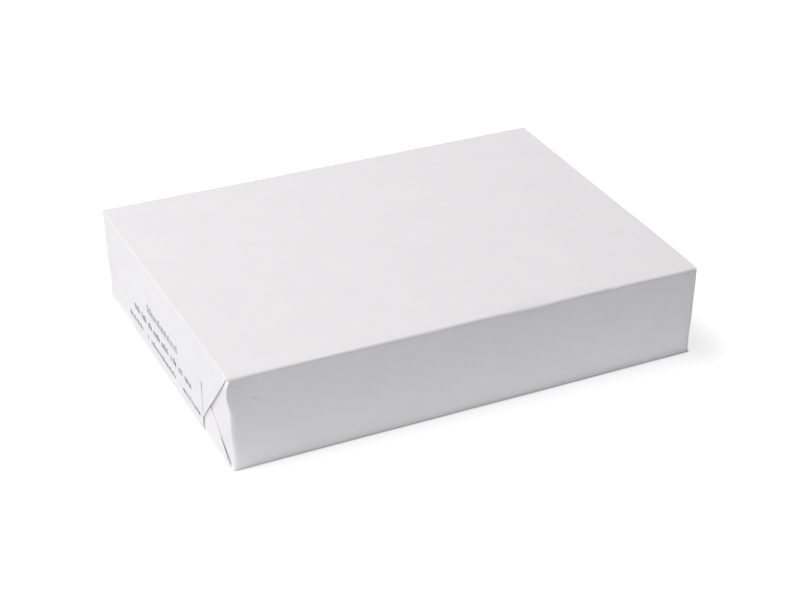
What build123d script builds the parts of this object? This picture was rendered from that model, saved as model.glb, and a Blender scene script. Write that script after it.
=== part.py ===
"""Ream of paper: a stack of A4 sheets sealed in a folded paper wrapper, with a label on one end.

Millimetres. X runs along the sheets' long side with the labelled end at -X, Z is up, and the
origin is the middle of the base.
"""

import os

from build123d import *

# The sheets, heavy drawing paper
sheet_length = 297.0
sheet_width = 210.0
sheet_count = 250
sheet_thickness = 0.239

# The wrapper, one sheet of paper rolled round the stack and folded shut at both ends
wrapper_thickness = 0.15
side_slack = 0.85  # left loose between the sheets and each long side
tuck_rise = 0.25  # how far the side tucks stand off the sheets' ends
flap_rise = 0.40  # a flap's doubled paper and the air it traps
long_edge_radius = 1.8
end_edge_radius = 0.9
top_fold_run = 52.0  # how far in the top flap's folded edges come on their way down to the base
base_fold_start = 2.5  # where the base flap's folded edges leave the base, in from each side
base_fold_run = 76.0  # how far in they come from there when followed up to the top
seam_offset = 18.0  # from the middle of the base to the outer edge of the lap under the pack
seam_blend = 70.0  # the width over which the ply beside the lap comes back down to the base

# The label, a thin adhesive sheet pressed over the folds of one end
label_width = 132.0
label_height = 31.5
label_thickness = 0.12
label_offset = 3.2  # from the middle of the end to the label's, towards +Y
label_base_gap = 0.6  # from the base's rounded edge up to the label's lowest corner
label_tilt = 1.1  # degrees, with the -Y side low

# Sizes that follow
pack_height = sheet_count * sheet_thickness + 2 * wrapper_thickness
pack_width = sheet_width + 2 * (side_slack + wrapper_thickness)
half_width = pack_width / 2
tucked_length = sheet_length + 2 * tuck_rise
base_flap_length = tucked_length + 2 * flap_rise
pack_length = base_flap_length + 2 * flap_rise
base_fold_half = half_width - base_fold_start

# The three layers folded over each end, as (Y, Z) outlines
tuck_outline = [
    (-half_width, 0),
    (half_width, 0),
    (half_width, pack_height),
    (-half_width, pack_height),
]
base_flap_outline = [
    (-base_fold_half, 0),
    (base_fold_half, 0),
    (base_fold_half - base_fold_run, pack_height),
    (base_fold_run - base_fold_half, pack_height),
]
top_flap_outline = [
    (top_fold_run - half_width, 0),
    (half_width - top_fold_run, 0),
    (half_width, pack_height),
    (-half_width, pack_height),
]
layers = [
    (tuck_outline, tucked_length),
    (base_flap_outline, base_flap_length),
    (top_flap_outline, pack_length),
]


def closed_pack(length):
    """A plain block of the pack's section, rounded where the paper folds."""
    with BuildPart() as block:
        with BuildSketch(Plane.YZ.offset(-length / 2)):
            with Locations((0, pack_height / 2)):
                RectangleRounded(pack_width, pack_height, long_edge_radius)
        extrude(amount=length)
        fillet(block.faces().filter_by(Axis.X).edges(), end_edge_radius)
    return block.part


def end_flaps(outline, length):
    """The flaps of both ends: a block as long as they stand proud, kept inside their outline."""
    block = closed_pack(length)
    with BuildPart() as flaps:
        add(block)
        with BuildSketch(Plane.YZ):
            with BuildLine():
                Polyline(outline, close=True)
            make_face()
        extrude(amount=length, both=True, mode=Mode.INTERSECT)
    return flaps.part


# The sealed pack: the side tucks, the base flaps over them and the top flaps outermost. Under
# it runs a lap, where the wrapper's outer edge ends and the ply beside it lies one ply higher.
stack = closed_pack(tucked_length)
base_flaps = end_flaps(base_flap_outline, base_flap_length)
top_flaps = end_flaps(top_flap_outline, pack_length)
with BuildPart() as wrapped_ream:
    add([stack, base_flaps, top_flaps])
    with BuildSketch(Plane.YZ.offset(-pack_length / 2)):
        with BuildLine():
            Polyline(
                (seam_offset, 0),
                (seam_offset, wrapper_thickness),
                (seam_offset + seam_blend, 0),
                close=True,
            )
        make_face()
    extrude(amount=pack_length, mode=Mode.SUBTRACT)

# The label: a skin of its own thickness over each layer, so that it steps down with the folds,
# cut to its outline
side_corner = Vector(label_width / 2, 0).rotate(Axis.Z, label_tilt)
lower_corner = Vector(0, label_height / 2).rotate(Axis.Z, label_tilt)
label_middle = end_edge_radius + label_base_gap + side_corner.Y + lower_corner.Y
with BuildPart() as end_label:
    for outline, length in layers:
        with BuildSketch(Plane.YZ.offset(-length / 2 - label_thickness)):
            with BuildLine():
                Polyline(outline, close=True)
            make_face()
            offset(amount=label_thickness, kind=Kind.INTERSECTION)
        extrude(amount=label_thickness + (length - tucked_length) / 2)
    with BuildSketch(Plane.YZ.offset(-pack_length)):
        with Locations(Location((label_offset, label_middle), label_tilt)):
            Rectangle(label_width, label_height)
    extrude(amount=pack_length, mode=Mode.INTERSECT)
    add(wrapped_ream.part, mode=Mode.SUBTRACT)

os.makedirs("parts", exist_ok=True)
for name, piece in [("wrapped_ream", wrapped_ream), ("end_label", end_label)]:
    piece.part.label = name
    export_step(piece.part, f"parts/{name}.step")
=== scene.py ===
"""Ream of paper: 250 sheets sealed in a folded white wrapper, with a printed label on one end."""

import math

import bmesh
import bpy
import numpy as np
from mathutils import Matrix, Vector
from mathutils.bvhtree import BVHTree


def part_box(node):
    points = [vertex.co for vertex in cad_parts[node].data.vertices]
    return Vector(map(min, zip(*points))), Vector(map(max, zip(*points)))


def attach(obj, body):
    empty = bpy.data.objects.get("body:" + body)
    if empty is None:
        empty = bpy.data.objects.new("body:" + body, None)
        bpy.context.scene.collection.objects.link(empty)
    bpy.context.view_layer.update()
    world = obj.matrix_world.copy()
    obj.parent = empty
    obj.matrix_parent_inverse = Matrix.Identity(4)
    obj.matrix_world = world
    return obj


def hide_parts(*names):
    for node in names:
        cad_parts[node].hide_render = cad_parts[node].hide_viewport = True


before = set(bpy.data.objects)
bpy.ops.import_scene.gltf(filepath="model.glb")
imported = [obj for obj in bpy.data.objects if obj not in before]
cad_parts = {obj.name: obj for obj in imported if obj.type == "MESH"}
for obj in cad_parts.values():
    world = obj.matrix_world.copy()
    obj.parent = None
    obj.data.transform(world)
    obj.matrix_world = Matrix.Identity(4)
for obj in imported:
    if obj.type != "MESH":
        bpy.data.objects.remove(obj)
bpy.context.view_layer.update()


# --- Wrapped ream: the folded paper -------------------------------------------------------------
# 250 sheets sealed in one sheet of white wrapping paper, rolled round them, lapped and glued along
# the underside. At each end the sides are tucked in first, then the base flap is folded up over
# them and the top flap down over both, so their slanting edges are doubled paper with a gap under.

pack_low, pack_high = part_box("wrapped_ream")
half_length = (pack_high.x - pack_low.x) / 2
half_width = (pack_high.y - pack_low.y) / 2
height = pack_high.z

fold_rise = 0.0016  # how far the top and base folds reach down or up
long_fold = 0.0018  # and in from the sides
end_fold = 0.0003  # and in from the ends, where the flaps are pulled tight
upright_soft = 0.0032  # the upright folds' reach along the sides, in their lower half
upright_tight = 0.0009  # and near the top
upright_change = (0.028, 0.050)  # the heights between which they tighten
upright_crispness = 0.75  # 1 would leave them elliptical near the top; less makes them squarer
paper = 0.00028  # the doubled paper of a flap's edge
tuck_edge_depth = 0.0005  # from the top flap's face in to the side tucks, at the upright folds
base_tuck_depth = 0.0014  # and near the base
base_tuck_change = (0.010, 0.028)  # the heights between which one becomes the other
tuck_depth = 0.00095  # the same depth further in, where the flaps cross
tuck_slope = (0.003, 0.022)  # how far in from the side it changes
gap_reach = 0.0035  # how far in the gap under a flap reaches before the layers meet
close_gap = 0.00010  # air under the base flap's edges
corner_gap = 0.00095  # and more of it by the corners, where they stand off
corner_gap_fade = (0.003, 0.016)  # the heights over which that goes
flap_stand_off = 0.00015  # how far they may stand out past the top flap
base_opening = (0.0003, 0.0020)  # the heights over which the gaps open, up from the base
top_opening = (0.0003, 0.0038)  # and down from the top
base_sinking = (0.0002, 0.0016)  # the layers part there a little sooner than the gaps open
top_sinking = (0.0002, 0.0038)
top_fold_start = 0.0023  # where the top flap's edges leave the top, in from each side
top_fold_run = 0.053  # and how far in they have come when they reach the base
top_fold_hold = 0.0006  # how far down they stay where they start
base_fold_start = 0.0025  # where the base flap's edges leave the base, in from each side
base_fold_run = 0.079  # how far in they would come on their way up to the top
lap_offset = 0.018  # from the middle of the base to the wrapper's outer edge
lap_blend = 0.070  # the width over which the ply beside it comes back down
lap_ply = 0.00015
lap_step = 0.00006  # the width of the step at that edge
first_step = 0.0003  # from a fold or a flap's bead to the next point


def ease(x, start, end):
    """0 at start, 1 at end, and an easy slope between."""
    t = np.clip((x - start) / (end - start), 0, 1)
    return t * t * (3 - 2 * t)


def mix(a, b, t):
    return a + (b - a) * t


def flap_edge(edge, reach, outside, below, level, bead):
    """The gap under a flap and the rounded edge over it, from the layer below out to its face."""
    tip = edge + reach
    under = level + 2 * bead
    points = [(mix(outside, tip, 0.5), below), (tip, below)]
    points.append((mix(edge, tip, 0.5), mix(under, below, 0.4)))
    for a in np.linspace(-math.pi / 2, math.pi / 2, 6):
        points.append((edge + bead * (1 - math.cos(a)), level + bead * (1 - math.sin(a))))
    return points


# Points along the parts of an end's outline
upright_points, tuck_points, base_flap_points, top_flap_points = 9, 14, 16, 34


def end_layers(z, tight):
    """Half of an end's outline at one height, from the side to the middle, layer under layer.

    Each point is (in from the side, in from the end). tight is 1 where the fold over the top or
    base edge has turned in all the way, and 0 on the flat of the end.
    """
    down = height - z
    opened = float(np.interp(z, base_opening, (0, 1)) * np.interp(down, top_opening, (0, 1)))
    sunk = float(np.interp(z, base_sinking, (0, 1)) * np.interp(down, top_sinking, (0, 1)))
    reach = gap_reach * opened
    bead = paper / 2 * opened
    upright = mix(upright_soft, upright_tight, ease(z, *upright_change))
    square = mix(1.0, upright_crispness, ease(z, *upright_change))

    fallen = max(down - top_fold_hold, 0) / height
    top_edge = top_fold_start + (top_fold_run - top_fold_start) * fallen
    base_edge = base_fold_start + base_fold_run * z / height
    tip = top_edge + reach
    shown = float(np.clip((tip - base_edge) / max(reach, 1e-9), 0, 1))
    base_edge = min(base_edge, tip)

    # The upright fold, then the side tuck
    turned_in = end_fold * tight ** 3
    edge_depth = mix(base_tuck_depth, tuck_edge_depth, ease(z, *base_tuck_change)) * sunk
    flat = 1 - tight
    points = []
    for a in np.linspace(0, math.pi / 2, upright_points):
        depth = edge_depth + turned_in + upright * flat * (1 - math.sin(a) ** square)
        points.append((long_fold * (1 - flat * max(math.cos(a), 0.0) ** square), depth))
    first_in = long_fold + first_step
    for t in np.linspace(0, 1, tuck_points):
        x = mix(min(first_in, base_edge), base_edge, t)
        points.append((x, mix(edge_depth, tuck_depth * sunk, ease(x, *tuck_slope))))

    # The base flap
    tuck = points[-1][1]
    air = (close_gap + corner_gap * (1 - ease(z, *corner_gap_fade))) * opened
    level = max(tuck - (air + paper * opened) * shown, -flap_stand_off)
    inner_level = mix(level, tuck_depth * sunk - (close_gap + paper) * opened, shown)
    points += flap_edge(base_edge, reach * shown, base_edge, tuck, level, bead * shown)
    start = base_edge + bead * shown
    stop = max(start, top_edge)
    for t in [0.01, *np.linspace(0, 1, base_flap_points)[1:]]:
        points.append((mix(start, stop, t), mix(level, inner_level, ease(t, 0.0, 0.8))))

    # The top flap, with two more points where the lap's step runs along the base
    points += flap_edge(top_edge, reach, stop, inner_level, 0.0, bead)
    lap = half_width - lap_offset
    inner = np.linspace(top_edge + bead + first_step, half_width, top_flap_points)
    inner = np.sort(np.append(inner, [lap, lap + lap_step]))
    points += [(x, 0.0) for x in inner]
    points = np.array(points)
    points[upright_points:, 1] += turned_in
    return points


# Rows of the mesh up the pack, as (height, how far the folds have turned in)
turn = np.linspace(0, math.pi / 2, 6)
base_rows = [(fold_rise * (1 - math.cos(a)), 1 - math.sin(a)) for a in turn]
closing = base_fold_run + top_fold_run - top_fold_start
crossing = height * (top_fold_run - base_fold_start) / closing  # where the flaps' edges meet
marks = [fold_rise + first_step, 0.008, crossing, crossing + 0.004, height - 0.014]
marks.append(height - fold_rise - first_step)
levels = [marks[:1]]
for low, high, count in zip(marks, marks[1:], (9, 18, 9, 18, 20)):
    levels.append(np.linspace(low, high, count)[1:])
rows = base_rows + [(z, 0.0) for z in np.concatenate(levels)]
rows += [(height - z, tight) for z, tight in reversed(base_rows)]

# Stations along the length, closer together near the ends
crowding = 0.35
along = np.linspace(-1, 1, 121)
along = 0.5 + 0.5 * ((1 + crowding) * along - crowding * along ** 3)
between = along[1:-1]

verts = []
for z, tight in rows:
    half = end_layers(z, tight)
    across = np.concatenate([half, half[-2::-1]])
    side = np.concatenate([np.full(len(half), -1.0), np.full(len(half) - 1, 1.0)])
    end_y = side * (half_width - across[:, 0])
    end_x = half_length - across[:, 1]
    side_x = end_x[0]
    side_y = half_width - half[0, 0]
    ring = [(-x, y, z) for x, y in zip(end_x, end_y)]
    ring += [(mix(-side_x, side_x, s), side_y, z) for s in between]
    ring += [(x, y, z) for x, y in zip(end_x[::-1], end_y[::-1])]
    ring += [(mix(side_x, -side_x, s), -side_y, z) for s in between]
    verts += ring
per_row = len(ring)
per_end = len(across)

faces = []
for r in range(len(rows) - 1):
    for i in range(per_row):
        j = (i + 1) % per_row
        faces.append((r * per_row + i, r * per_row + j, (r + 1) * per_row + j, (r + 1) * per_row + i))


def cover(row):
    """Closes the ring of one row with a grid, its lines running along the pack."""
    start = row * per_row
    far_end = start + per_end + len(between) + per_end - 1
    grid = [[start + j for j in range(per_end)]]
    for k, s in enumerate(between):
        line = [start + per_row - 1 - k]
        for j in range(1, per_end - 1):
            line.append(len(verts))
            verts.append(tuple(mix(a, b, s) for a, b in zip(verts[start + j], verts[far_end - j])))
        line.append(start + per_end + k)
        grid.append(line)
    grid.append([far_end - j for j in range(per_end)])
    for lower, upper in zip(grid, grid[1:]):
        for j in range(per_end - 1):
            faces.append((lower[j], lower[j + 1], upper[j + 1], upper[j]))


cover(0)
cover(len(rows) - 1)

# Under the pack the ply beside the lap lies one ply higher than the outer edge
verts = np.array(verts)
beyond_lap = verts[:, 1] - lap_offset
lifted = lap_ply * np.clip(1 - beyond_lap / lap_blend, 0, 1) * (beyond_lap > lap_step / 2)
verts[:, 2] += lifted * np.clip(1 - verts[:, 2] / fold_rise, 0, 1)

folded_mesh = bpy.data.meshes.new("folded_paper")
folded_mesh.from_pydata(verts.tolist(), [], faces)
sheet = bmesh.new()
sheet.from_mesh(folded_mesh)
bmesh.ops.remove_doubles(sheet, verts=sheet.verts, dist=1e-6)
bmesh.ops.dissolve_degenerate(sheet, edges=sheet.edges, dist=1e-7)
bmesh.ops.recalc_face_normals(sheet, faces=sheet.faces)
for face in sheet.faces:
    face.smooth = True
sheet.to_mesh(folded_mesh)
sheet.free()
wrapper = bpy.data.objects.new("wrapped_ream_visual", folded_mesh)
bpy.context.collection.objects.link(wrapper)


# --- Wrapped ream: how it has settled -----------------------------------------------------------
# A wrapped stack isn't a true block: handling has pushed its top towards the labelled end, the
# ends belly out near the base, the wrapper lies loose over the sheets' edges, and its corners are
# softened and creased where the pack was gripped and set down.

lean = 0.00175  # how far the top has slid towards the labelled end
belly = 0.00075  # how far the labelled end stands out at the base
far_corner_inset = 0.0011  # how far the labelled end's +Y corner is pushed in at the base
side_belly = 0.0012  # how far the -Y side stands out at the base, by the labelled end
ripple = 0.00030
ripple_size = 0.085
wrinkle = 0.00007
wrinkle_size = 0.016
seed = 7.0
wrinkle_seed_step = 31.0  # so that the wrinkles don't follow the ripples


def add_node(tree, kind, inputs=(), **settings):
    """Adds a node, its inputs given as other nodes' sockets or as plain values."""
    node = tree.nodes.new(kind)
    for name, value in settings.items():
        setattr(node, name, value)
    for key, value in inputs.items() if isinstance(inputs, dict) else enumerate(inputs):
        if isinstance(value, bpy.types.NodeSocket):
            tree.links.new(value, node.inputs[key])
        elif value is not None:
            node.inputs[key].default_value = value
    return node


def figure(tree, operation, *inputs):
    """One step of arithmetic on numbers."""
    kind = "ShaderNodeMath"
    return add_node(tree, kind, inputs, operation=operation).outputs[0]


def arrow(tree, operation, *inputs):
    """One step of arithmetic on vectors."""
    node = add_node(tree, "ShaderNodeVectorMath", inputs, operation=operation)
    return node.outputs["Value" if operation in ("LENGTH", "DOT_PRODUCT") else "Vector"]


def scaled(tree, vector, amount):
    return add_node(tree, "ShaderNodeVectorMath", {0: vector, 3: amount}, operation="SCALE").outputs[0]


def ramp(tree, value, start, end, low=0.0, high=1.0):
    """low before start, high past end, and an easy slope between."""
    inputs = {"Value": value, "From Min": start, "From Max": end, "To Min": low, "To Max": high}
    return add_node(tree, "ShaderNodeMapRange", inputs, interpolation_type="SMOOTHSTEP").outputs[0]


settled = bpy.data.node_groups.new("settled_pack", "GeometryNodeTree")
interface = settled.interface
interface.new_socket("Folded paper", in_out="INPUT", socket_type="NodeSocketGeometry")
sizes = {
    "Half length": half_length,
    "Half width": half_width,
    "Height": height,
    "Lean": lean,
    "Belly": belly,
    "Far corner inset": far_corner_inset,
    "Side belly": side_belly,
    "Ripple": ripple,
    "Ripple size": ripple_size,
    "Wrinkle": wrinkle,
    "Wrinkle size": wrinkle_size,
    "Handling": 1.0,
    "Seed": seed,
}
for name in sizes:
    interface.new_socket(name, in_out="INPUT", socket_type="NodeSocketFloat")
interface.new_socket("Paper", in_out="INPUT", socket_type="NodeSocketMaterial")
interface.new_socket("Settled paper", in_out="OUTPUT", socket_type="NodeSocketGeometry")
given = settled.nodes.new("NodeGroupInput").outputs

position = add_node(settled, "GeometryNodeInputPosition").outputs[0]
place = add_node(settled, "ShaderNodeSeparateXYZ", [position]).outputs
drop = figure(settled, "SUBTRACT", 1.0, figure(settled, "DIVIDE", place["Z"], given["Height"]))
x_share = figure(settled, "DIVIDE", place["X"], given["Half length"])
y_share = figure(settled, "DIVIDE", place["Y"], given["Half width"])
by_label = figure(settled, "MULTIPLY_ADD", x_share, -0.5, 0.5)
by_far_side = figure(settled, "MULTIPLY_ADD", y_share, 0.5, 0.5)

# The lean, less at the labelled end, whose base bellies out, and more at its far corner
bellied = figure(settled, "MULTIPLY", given["Belly"], by_label)
slide = figure(settled, "SUBTRACT", given["Lean"], bellied)
by_far_corner = figure(settled, "MULTIPLY", by_label, by_far_side)
inset = figure(settled, "MULTIPLY", by_far_corner, given["Far corner inset"])
slide = figure(settled, "MULTIPLY", figure(settled, "ADD", slide, inset), drop)
move_x = figure(settled, "SUBTRACT", slide, figure(settled, "MULTIPLY", given["Lean"], 0.5))

# The front's belly
by_near_side = figure(settled, "SUBTRACT", 1.0, by_far_side)
out = figure(settled, "MULTIPLY", figure(settled, "MULTIPLY", by_label, drop), by_near_side)
move_y = figure(settled, "MULTIPLY", figure(settled, "MULTIPLY", out, given["Side belly"]), -1.0)
move = add_node(settled, "ShaderNodeCombineXYZ", [move_x, move_y, 0.0]).outputs[0]

# The loose paper's long ripples and short wrinkles, with nothing moved up or down at the base
off_base = ramp(settled, place["Z"], 0.0002, 0.006)
loose = add_node(settled, "ShaderNodeCombineXYZ", [1.0, 1.0, off_base]).outputs[0]
for amount, step in (("Ripple", 0.0), ("Wrinkle", wrinkle_seed_step)):
    scale = figure(settled, "DIVIDE", 1.0, given[amount + " size"])
    slice_at = figure(settled, "ADD", given["Seed"], step)
    inputs = {"Vector": position, "W": slice_at, "Scale": scale, "Detail": 1.0}
    noise = add_node(settled, "ShaderNodeTexNoise", inputs, noise_dimensions="4D").outputs["Color"]
    noise = arrow(settled, "SUBTRACT", noise, (0.5, 0.5, 0.5))
    noise = arrow(settled, "MULTIPLY", noise, loose)
    swing = figure(settled, "MULTIPLY", given[amount], 2.0)
    move = arrow(settled, "ADD", move, scaled(settled, noise, swing))

# Marks of handling, each a soft push: where, how far it reaches each way, and which way it moves.
# Corners are named by the labelled end's near side (-Y) and far side (+Y).
end_x, near_y, far_y = -half_length, -half_width, half_width
pushes = [
    # the near upright fold stands out in an ear, then draws in again under it
    ((end_x, near_y, height - 0.0105), (0.010, 0.005, 0.0078), (-0.0025, -0.0003, 0)),
    ((end_x, near_y, height - 0.0050), (0.006, 0.004, 0.0022), (-0.0004, -0.0002, 0)),
    # the near top corner is pinched, and the top dips behind it
    ((end_x, near_y + 0.0008, height - 0.0012), (0.0022, 0.0012, 0.0012), (0.0009, 0.0003, -0.0003)),
    ((end_x + 0.004, near_y, height - 0.001), (0.0100, 0.0030, 0.0022), (0, 0.0002, -0.0005)),
    # the far base corner is turned out
    ((end_x, far_y, 0.0035), (0.0030, 0.0040, 0.0024), (-0.0008, 0.0002, 0)),
    # the top flap's edge lifts where the flaps cross
    ((end_x - 0.0005, near_y + 0.031, crossing), (0.0008, 0.008, 0.008), (-0.0004, 0, 0)),
    # dips along the front top fold, and a nick in it
    ((0.036, near_y, height), (0.020, 0.0040, 0.0040), (0, 0.0004, -0.0010)),
    ((-0.030, near_y, height), (0.014, 0.0030, 0.0030), (0, 0.0002, -0.0003)),
    ((0.090, near_y, height), (0.0024, 0.0024, 0.0018), (0, 0.0008, -0.0009)),
    ((-end_x, near_y, height), (0.045, 0.0200, 0.0080), (0, 0, -0.0008)),
    ((-end_x - 0.002, near_y, height), (0.0025, 0.0025, 0.0018), (-0.0002, 0.0003, -0.0003)),
    # a dimple in the front, low behind the ear
    ((end_x + 0.0160, near_y, height - 0.0140), (0.0020, 0.0030, 0.0011), (0, 0.00060, 0)),
]
for centre, reach, push in pushes:
    away = arrow(settled, "DIVIDE", arrow(settled, "SUBTRACT", position, centre), reach)
    squared = arrow(settled, "DOT_PRODUCT", away, away)
    near = figure(settled, "EXPONENT", figure(settled, "MULTIPLY", squared, -1.0))
    amount = figure(settled, "MULTIPLY", near, given["Handling"])
    move = arrow(settled, "ADD", move, scaled(settled, push, amount))

# Creases: straight lines pressed into the paper, deepest at their first end
creases = [
    ((end_x + 0.001, near_y, height - 0.0028), (end_x + 0.017, near_y, height - 0.0105), 0.00040),
    ((end_x + 0.001, near_y, height - 0.0058), (end_x + 0.015, near_y, height - 0.0135), 0.00026),
    ((end_x + 0.002, near_y, height - 0.0015), (end_x + 0.010, near_y, height - 0.0045), 0.00030),
]
crease_width = 0.0011
for start, end, depth in creases:
    line = Vector(end) - Vector(start)
    offset = arrow(settled, "SUBTRACT", position, start)
    share = figure(settled, "DIVIDE", arrow(settled, "DOT_PRODUCT", offset, line), line.length_squared)
    share = add_node(settled, "ShaderNodeClamp", [share]).outputs[0]
    distance = arrow(settled, "LENGTH", arrow(settled, "SUBTRACT", offset, scaled(settled, line, share)))
    dent = ramp(settled, distance, 0.0, crease_width, depth, 0.0)
    dent = figure(settled, "MULTIPLY", dent, figure(settled, "SUBTRACT", 1.0, share))
    dent = figure(settled, "MULTIPLY", dent, given["Handling"])
    move = arrow(settled, "ADD", move, scaled(settled, (0, 1, 0), dent))

inputs = {"Geometry": given["Folded paper"], "Offset": move}
moved = add_node(settled, "GeometryNodeSetPosition", inputs)
whole = add_node(settled, "GeometryNodeRealizeInstances", [moved.outputs[0]])
inputs = {"Geometry": whole.outputs[0], "Material": given["Paper"]}
papered = add_node(settled, "GeometryNodeSetMaterial", inputs)
add_node(settled, "NodeGroupOutput", [papered.outputs[0]])


# --- Wrapped ream: the paper's finish -----------------------------------------------------------
# Machine-finished white kraft, uncoated: a short-fibred matt surface with a cloudy sheet
# formation, a few specks in the pulp, and faint greying where it has been rubbed.

wrapper_white = (0.832, 0.826, 0.832, 1)
wrapper_shade = (0.803, 0.796, 0.803, 1)
speck_grey = (0.38, 0.36, 0.36, 1)
smudge_grey = (0.70, 0.685, 0.690, 1)
cloud_scale, fine_cloud_scale = 0.045, 0.30  # per millimetre
fine_cloud_share = 0.45
cloud_contrast = 1.6
speck_scale = 0.11  # cells per millimetre, of which few have a speck
speck_rarity = 0.86
speck_radius = 0.045  # in cells
fibre_scale = (900.0, 2600.0, 2600.0)  # per metre: long one way and fine the other two
cross_fibre_scale = (2600.0, 900.0, 900.0)


def add_group(name, inputs, outputs):
    """A shader node group with number inputs; gives back its tree, its inputs and its output node."""
    tree = bpy.data.node_groups.new(name, "ShaderNodeTree")
    for label, value in inputs.items():
        socket = tree.interface.new_socket(label, in_out="INPUT", socket_type="NodeSocketFloat")
        socket.default_value = value
    for label in outputs:
        tree.interface.new_socket(label, in_out="OUTPUT", socket_type="NodeSocketFloat")
    return tree, tree.nodes.new("NodeGroupInput").outputs, tree.nodes.new("NodeGroupOutput")


def pack_place(tree, scale=(1000.0, 1000.0, 1000.0)):
    """A point's place on the pack, in millimetres unless another scale is given."""
    place = add_node(tree, "ShaderNodeTexCoord").outputs["Object"]
    return arrow(tree, "MULTIPLY", place, scale)


def add_noise(tree, place, scale, detail):
    """Noise around 0.5."""
    inputs = {"Vector": place, "Scale": scale, "Detail": detail}
    return add_node(tree, "ShaderNodeTexNoise", inputs).outputs[0]


fibre_sizes = {"Cloud": 1.0, "Fibre": 1.0, "Specks": 1.0}
fibre_shows = ["Clouding", "Specks", "Relief"]
paper_fibre, fibre_in, fibre_out = add_group("paper_fibre", fibre_sizes, fibre_shows)

# The sheet's cloudy formation
cloud = add_noise(paper_fibre, pack_place(paper_fibre), cloud_scale, 3.0)
fine_cloud = add_noise(paper_fibre, pack_place(paper_fibre), fine_cloud_scale, 2.0)
fine_cloud = figure(paper_fibre, "SUBTRACT", fine_cloud, 0.5)
cloud = figure(paper_fibre, "MULTIPLY_ADD", fine_cloud, fine_cloud_share, cloud)
cloud = figure(paper_fibre, "SUBTRACT", cloud, 0.5)
cloud = figure(paper_fibre, "MULTIPLY", cloud, fibre_in["Cloud"])
clouding = figure(paper_fibre, "MULTIPLY_ADD", cloud, cloud_contrast, 0.5)
paper_fibre.links.new(clouding, fibre_out.inputs["Clouding"])

# A few specks in the pulp, of different sizes and strengths
inputs = {"Vector": pack_place(paper_fibre), "Scale": speck_scale}
pulp_cells = add_node(paper_fibre, "ShaderNodeTexVoronoi", inputs).outputs
chance = add_node(paper_fibre, "ShaderNodeSeparateColor", [pulp_cells["Color"]]).outputs
speck_reach = ramp(paper_fibre, chance[0], speck_rarity, 1.0, 0.0, speck_radius)
speck = figure(paper_fibre, "LESS_THAN", pulp_cells["Distance"], speck_reach)
strength = figure(paper_fibre, "MULTIPLY", chance[1], fibre_in["Specks"])
speck = figure(paper_fibre, "MULTIPLY", speck, strength)
paper_fibre.links.new(speck, fibre_out.inputs["Specks"])

# The fibres' relief
long_fibres = add_noise(paper_fibre, pack_place(paper_fibre, fibre_scale), 1.0, 2.0)
cross_fibres = add_noise(paper_fibre, pack_place(paper_fibre, cross_fibre_scale), 1.0, 2.0)
relief = figure(paper_fibre, "ADD", long_fibres, cross_fibres)
relief = figure(paper_fibre, "MULTIPLY", relief, fibre_in["Fibre"])
paper_fibre.links.new(relief, fibre_out.inputs["Relief"])

wrapper_paper = bpy.data.materials.new("wrapper_paper")
wrapper_paper.use_nodes = True
tree = wrapper_paper.node_tree
shader = tree.nodes["Principled BSDF"]
fibre = add_node(tree, "ShaderNodeGroup", node_tree=paper_fibre)
tint = add_node(tree, "ShaderNodeMix", {0: fibre.outputs["Clouding"]}, data_type="RGBA")
tint.inputs[6].default_value = wrapper_shade
tint.inputs[7].default_value = wrapper_white
colour = tint.outputs[2]

# Smudges and one dark speck on the top, as (x, y, reach, strength), from the pack's middle
top_marks = [
    (0.0565, -0.0510, 0.0006, 0.9),
    (-0.093, 0.072, 0.0040, 0.25),
    (-0.033, 0.065, 0.0050, 0.10),
    (-0.080, 0.026, 0.0035, 0.10),
    (0.120, -0.013, 0.0040, 0.12),
    (0.128, -0.049, 0.0030, 0.14),
]
spot = add_node(tree, "ShaderNodeTexCoord").outputs["Object"]
for x, y, reach, strength in top_marks:
    away = arrow(tree, "LENGTH", arrow(tree, "SUBTRACT", spot, (x, y, height)))
    mark = ramp(tree, away, 0.3 * reach, reach, strength, 0.0)
    rubbed = add_node(tree, "ShaderNodeMix", {0: mark, 6: colour}, data_type="RGBA")
    rubbed.inputs[7].default_value = speck_grey if strength > 0.5 else smudge_grey
    colour = rubbed.outputs[2]
specked = add_node(tree, "ShaderNodeMix", {0: fibre.outputs["Specks"], 6: colour}, data_type="RGBA")
specked.inputs[7].default_value = smudge_grey
tree.links.new(specked.outputs[2], shader.inputs["Base Color"])
sheen = ramp(tree, fibre.outputs["Clouding"], 0.2, 0.8, 0.66, 0.58)
tree.links.new(sheen, shader.inputs["Roughness"])
shader.inputs["Specular IOR Level"].default_value = 0.35
bump_inputs = {"Strength": 0.25, "Distance": 0.00004, "Height": fibre.outputs["Relief"]}
tree.links.new(add_node(tree, "ShaderNodeBump", bump_inputs).outputs[0], shader.inputs["Normal"])

# The folded paper is settled and given its finish, and the result kept as a plain mesh
settling = wrapper.modifiers.new("settled_pack", "NODES")
settling.node_group = settled
sockets = {item.name: item.identifier for item in interface.items_tree if item.in_out == "INPUT"}
for name, value in sizes.items():
    settling[sockets[name]] = value
settling[sockets["Paper"]] = wrapper_paper
flat_shading = wrapper.modifiers.new("flat_faces_stay_flat", "WEIGHTED_NORMAL")
flat_shading.keep_sharp = False
graph = bpy.context.evaluated_depsgraph_get()
wrapper_mesh = bpy.data.meshes.new_from_object(wrapper.evaluated_get(graph))
wrapper.modifiers.clear()
wrapper.data = wrapper_mesh

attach(wrapper, "root")
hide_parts("wrapped_ream")


# --- End label ----------------------------------------------------------------------------------
# A thin printed sheet, smoother and a little whiter than the wrapper, glued by hand over the
# folds of one end. It bridges the step off the top flap's edge, and its upper near corner has
# begun to come away. Small dark blocks stand for its rows of words.

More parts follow.
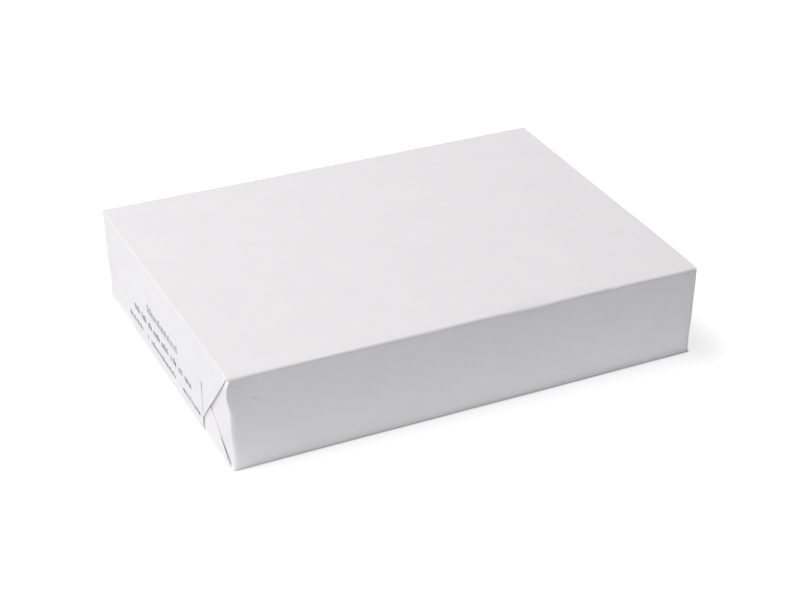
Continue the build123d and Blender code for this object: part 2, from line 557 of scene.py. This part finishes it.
label_low, label_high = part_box("end_label")
label_width = 0.132
label_height = 0.0315
label_tilt = math.radians(1.1)
label_thickness = 0.00012
label_float = 0.00004  # the glue's thickness
label_middle = (label_low + label_high) / 2
columns, lines = 177, 43
relaxing_steps = 70
loose_reach = 0.005  # how far from its corner the label has come away
loose_lift = 0.0003
edge_press = 0.3  # how thin its cut edges are pressed

# Across runs from the far side to the near one, as the label is read
across = np.linspace(-0.5, 0.5, columns)[None, :] * label_width
upward = np.linspace(-0.5, 0.5, lines)[:, None] * label_height
tilt_cos, tilt_sin = math.cos(label_tilt), math.sin(label_tilt)
label_y = label_middle.y - across * tilt_cos - upward * tilt_sin
label_z = label_middle.z - across * tilt_sin + upward * tilt_cos
points = [v.co for v in wrapper_mesh.vertices]
surface = BVHTree.FromPolygons(points, [tuple(p.vertices) for p in wrapper_mesh.polygons])
depth = np.zeros((lines, columns))
for i in range(lines):
    for j in range(columns):
        origin = Vector((-half_length - 0.02, label_y[i, j], label_z[i, j]))
        depth[i, j] = surface.ray_cast(origin, Vector((1, 0, 0)))[0].x
depth -= label_float

# The paper is stiff: it lies on what stands out, and spans what lies back
pressed = depth.copy()
for _ in range(relaxing_steps):
    padded = np.pad(pressed, 1, mode="edge")
    spread = (padded[:-2, 1:-1] + padded[2:, 1:-1] + padded[1:-1, :-2] + padded[1:-1, 2:]) / 4
    pressed = np.minimum(depth, spread)
lift_across = np.exp(-((across - label_width / 2) / loose_reach) ** 2)
lift_up = np.exp(-((upward - label_height / 2) / loose_reach) ** 2)
pressed -= loose_lift * lift_up * lift_across

thickness = np.full((lines, columns), label_thickness)
thickness[[0, -1], :] *= edge_press
thickness[:, [0, -1]] *= edge_press
label_verts = []
for skin in (pressed, pressed - thickness):
    label_verts += [tuple(p) for p in np.stack([skin, label_y, label_z], -1).reshape(-1, 3)]
count = lines * columns
label_faces = []
for i in range(lines - 1):
    for j in range(columns - 1):
        a = i * columns + j
        quad = (a, a + 1, a + 1 + columns, a + columns)
        label_faces.append(quad)
        label_faces.append(tuple(count + v for v in reversed(quad)))
rim = list(range(columns))
rim += [i * columns + columns - 1 for i in range(1, lines)]
rim += [(lines - 1) * columns + j for j in range(columns - 2, -1, -1)]
rim += [i * columns for i in range(lines - 2, 0, -1)]
for a, b in zip(rim, rim[1:] + rim[:1]):
    label_faces.append((b, a, count + a, count + b))
label_mesh = bpy.data.meshes.new("end_label_visual")
label_mesh.from_pydata(label_verts, [], label_faces)
sheet = bmesh.new()
sheet.from_mesh(label_mesh)
bmesh.ops.recalc_face_normals(sheet, faces=sheet.faces)
printed = sheet.loops.layers.uv.new("label")
for face in sheet.faces:
    face.smooth = len(set(v.index // count for v in face.verts)) == 1
    for loop in face.loops:
        row, column = divmod(loop.vert.index % count, columns)
        loop[printed].uv = (column / (columns - 1), row / (lines - 1))
sheet.to_mesh(label_mesh)
sheet.free()
label = bpy.data.objects.new("end_label_visual", label_mesh)
bpy.context.collection.objects.link(label)

# The print, in millimetres from the label's far side and down from its top. Each row has the
# heights its blocks start and stop at, the pitch of its blocks, the share of it that is inked,
# how black it is, and where each word runs.
print_rows = [
    (0.3, 5.8, 2.44, 0.42, 0.95, [(41.2, 92.8)]),
    (12.1, 16.4, 2.30, 0.62, 1.0, [
        (17.0, 26.1), (28.5, 37.2), (40.7, 47.8), (50.5, 61.3), (63.7, 76.3),
        (79.0, 81.6), (83.1, 89.0), (92.3, 99.4), (101.9, 109.1), (110.7, 114.6),
    ]),
    (22.6, 25.8, 2.60, 0.56, 1.0, [
        (6.3, 31.3), (39.3, 40.3), (44.9, 87.8), (95.0, 96.0), (99.5, 127.6),
    ]),
]
short_share = 0.6  # of the blocks are short, like low letters
short_by = 0.26  # of their row's height
ink = (0.045, 0.045, 0.055, 1)
label_white = (0.808, 0.807, 0.820, 1)
label_shade = (0.786, 0.785, 0.798, 1)

print_sizes = {"Across": 0.0, "Down": 0.0}
print_mask, print_in, print_out = add_group("greeked_print", print_sizes, ["Ink"])
share_across = figure(print_mask, "DIVIDE", print_in["Across"], label_width * 1000)
printed_rows = []
for top, bottom, pitch, filled, weight, words in print_rows:
    # 1 over the words and 0 between them
    word_ramp = add_node(print_mask, "ShaderNodeValToRGB", [share_across])
    stops = word_ramp.color_ramp
    stops.interpolation = "CONSTANT"
    stops.elements[0].color = (0, 0, 0, 1)
    stops.elements[1].position = words[0][0] / (label_width * 1000)
    stops.elements[1].color = (1, 1, 1, 1)
    edges = [edge for word in words for edge in word][1:]
    for n, edge in enumerate(edges):
        stop = stops.elements.new(edge / (label_width * 1000))
        stop.color = (0, 0, 0, 1) if n % 2 == 0 else (1, 1, 1, 1)

    # One block a letter, each with its own width, height and blackness
    steps = figure(print_mask, "DIVIDE", print_in["Across"], pitch)
    inputs = {"W": figure(print_mask, "FLOOR", steps)}
    chance = add_node(print_mask, "ShaderNodeTexWhiteNoise", inputs, noise_dimensions="1D").outputs
    chance = add_node(print_mask, "ShaderNodeSeparateColor", [chance["Color"]]).outputs
    width = figure(print_mask, "MULTIPLY_ADD", chance[2], 0.5 * filled, 0.75 * filled)
    body = figure(print_mask, "LESS_THAN", figure(print_mask, "FRACT", steps), width)
    is_short = figure(print_mask, "LESS_THAN", chance[0], short_share)
    starts_at = figure(print_mask, "MULTIPLY_ADD", is_short, short_by * (bottom - top), top)
    starts = figure(print_mask, "GREATER_THAN", print_in["Down"], starts_at)
    ends = figure(print_mask, "LESS_THAN", print_in["Down"], bottom)
    block = figure(print_mask, "MULTIPLY", figure(print_mask, "MULTIPLY", starts, ends), body)
    strength = figure(print_mask, "MULTIPLY_ADD", chance[1], 0.25, weight - 0.15)
    block = figure(print_mask, "MULTIPLY", block, strength)
    printed_rows.append(figure(print_mask, "MULTIPLY", block, word_ramp.outputs[0]))
inked = printed_rows[0]
for printed_row in printed_rows[1:]:
    inked = figure(print_mask, "ADD", inked, printed_row)
print_mask.links.new(inked, print_out.inputs["Ink"])

label_paper = bpy.data.materials.new("label_paper")
label_paper.use_nodes = True
tree = label_paper.node_tree
shader = tree.nodes["Principled BSDF"]
fibre = add_node(tree, "ShaderNodeGroup", node_tree=paper_fibre)
fibre.inputs["Cloud"].default_value = 0.5
fibre.inputs["Specks"].default_value = 0.3
tint = add_node(tree, "ShaderNodeMix", {0: fibre.outputs["Clouding"]}, data_type="RGBA")
tint.inputs[6].default_value = label_shade
tint.inputs[7].default_value = label_white
uv = add_node(tree, "ShaderNodeUVMap", uv_map="label").outputs[0]
uv = add_node(tree, "ShaderNodeSeparateXYZ", [uv]).outputs
across_mm = figure(tree, "MULTIPLY", uv[0], label_width * 1000)
down_mm = figure(tree, "MULTIPLY", figure(tree, "SUBTRACT", 1.0, uv[1]), label_height * 1000)
words = add_node(tree, "ShaderNodeGroup", {"Across": across_mm, "Down": down_mm}, node_tree=print_mask)
inked = add_node(tree, "ShaderNodeMix", {0: words.outputs[0], 6: tint.outputs[2]}, data_type="RGBA")
inked.inputs[7].default_value = ink
tree.links.new(inked.outputs[2], shader.inputs["Base Color"])
tree.links.new(ramp(tree, fibre.outputs["Clouding"], 0.2, 0.8, 0.52, 0.46), shader.inputs["Roughness"])
shader.inputs["Specular IOR Level"].default_value = 0.4
bump_inputs = {"Strength": 0.12, "Distance": 0.00003, "Height": fibre.outputs["Relief"]}
tree.links.new(add_node(tree, "ShaderNodeBump", bump_inputs).outputs[0], shader.inputs["Normal"])
label_mesh.materials.append(label_paper)

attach(label, "root")
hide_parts("end_label")


# --- Floor, light and camera --------------------------------------------------------------------
# A white studio table under one large soft light, high on the left and a little behind, with a
# weak fill on the near left and a strip of light low in front. The camera sees the table burnt out.

floor_reach = 12
floor_glow = 0.60  # enough to burn the table out, without showing where it ends
corners = [(-1, -1), (1, -1), (1, 1), (-1, 1)]
floor_mesh = bpy.data.meshes.new("floor")
floor_mesh.from_pydata([(x * floor_reach, y * floor_reach, 0) for x, y in corners], [], [(0, 1, 2, 3)])
floor = bpy.data.objects.new("floor", floor_mesh)
bpy.context.collection.objects.link(floor)
floor_paint = bpy.data.materials.new("floor_paint")
floor_paint.use_nodes = True
shader = floor_paint.node_tree.nodes["Principled BSDF"]
shader.inputs["Base Color"].default_value = (0.76, 0.76, 0.76, 1)
shader.inputs["Roughness"].default_value = 0.9
shader.inputs["Emission Color"].default_value = (1, 1, 1, 1)
seen = add_node(floor_paint.node_tree, "ShaderNodeLightPath").outputs["Is Camera Ray"]
burnt_out = figure(floor_paint.node_tree, "MULTIPLY", seen, floor_glow)
floor_paint.node_tree.links.new(burnt_out, shader.inputs["Emission Strength"])
floor_mesh.materials.append(floor_paint)

world = bpy.data.worlds.new("studio")
world.use_nodes = True
room = world.node_tree.nodes["Background"].inputs
room["Color"].default_value = (0.985, 0.99, 1.015, 1)
room["Strength"].default_value = 0.31
bpy.context.scene.world = world

middle = Vector((0, 0, 0.03))
strip_place = Vector((0.005, -half_width - 0.0225, 0.001))
lights = [
    # name, where it is, what it faces, width, depth, watts, colour
    ("key_softbox", Vector((-1.5, 1.04, 2.6)), middle, 2.1, 2.1, 91, (1.0, 0.979, 0.976)),
    ("near_left_fill", Vector((-1.3, -0.55, 0.4)), middle, 0.5, 0.5, 2.7, (0.965, 1.0, 1.02)),
    ("low_strip", strip_place, strip_place + Vector((0, 0, 1)), 0.33, 0.04, 0.022, (1.0, 0.985, 1.0)),
]
for name, place, facing, width, depth, watts, colour in lights:
    lamp = bpy.data.lights.new(name, "AREA")
    lamp.shape = "RECTANGLE"
    lamp.size = width
    lamp.size_y = depth
    lamp.energy = watts
    lamp.color = colour
    lamp_object = bpy.data.objects.new(name, lamp)
    lamp_object.location = place
    lamp_object.rotation_euler = (facing - place).to_track_quat("-Z", "Y").to_euler()
    lamp_object.visible_camera = False
    bpy.context.collection.objects.link(lamp_object)

camera_data = bpy.data.cameras.new("camera")
camera_data.lens = 84.43
camera_data.sensor_width = 36
camera = bpy.data.objects.new("camera", camera_data)
camera_place = Vector((-0.4491 + lean / 2, -0.8913, 0.6063))
heading, dip, roll = math.radians(26.932), math.radians(30.606), math.radians(1.477)
level_ahead = Vector((math.sin(heading), math.cos(heading), 0))
forward = level_ahead * math.cos(dip) - Vector((0, 0, math.sin(dip)))
right = forward.cross(Vector((0, 0, 1))).normalized()
up = right.cross(forward)
rolled_right = right * math.cos(roll) + up * math.sin(roll)
rolled_up = up * math.cos(roll) - right * math.sin(roll)
turned = Matrix((rolled_right, rolled_up, -forward)).transposed().to_4x4()
camera.matrix_world = Matrix.Translation(camera_place) @ turned
bpy.context.collection.objects.link(camera)
bpy.context.scene.camera = camera
bpy.context.scene.view_settings.view_transform = "Standard"
